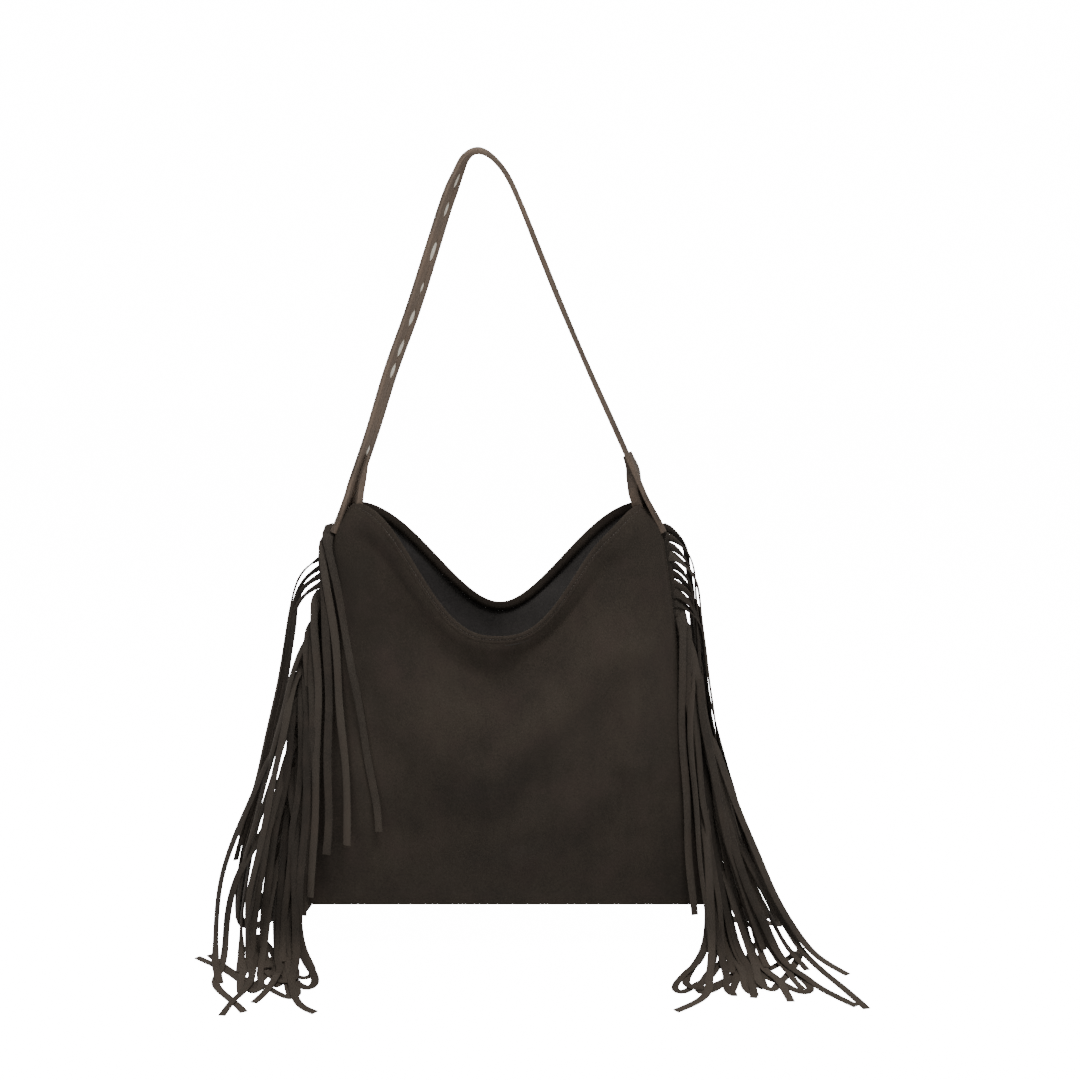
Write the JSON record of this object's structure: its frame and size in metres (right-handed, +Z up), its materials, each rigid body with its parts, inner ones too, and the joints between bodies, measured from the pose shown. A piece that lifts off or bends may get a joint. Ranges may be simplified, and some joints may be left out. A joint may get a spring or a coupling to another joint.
{
  "type": "fringed suede bag",
  "caption": "Soft suede shoulder bag, two scooped panels, long comb-cut fringe in both side seams, one folded shoulder strap.",
  "frame": {"origin": "the point on top of the strap where the bag hangs", "axes": "+Z up along the hang, +X to the right as seen from the front, front towards -Y"},
  "size_m": [0.6562, 0.5091, 0.7734],
  "materials": {
    "suede": "napped dark brown suede",
    "suede_strip": "napped dark brown suede, cut edges",
    "suede_strap": "worn brown suede",
    "cream_tape": "woven cream tape"
  },
  "bodies": {
    "root": {"front_panel": "suede", "back_panel": "suede", "left_fringe": "suede_strip", "right_fringe": "suede_strip", "shoulder_strap": "suede_strap", "strap_tape": "cream_tape"}
  },
  "joints": []
}
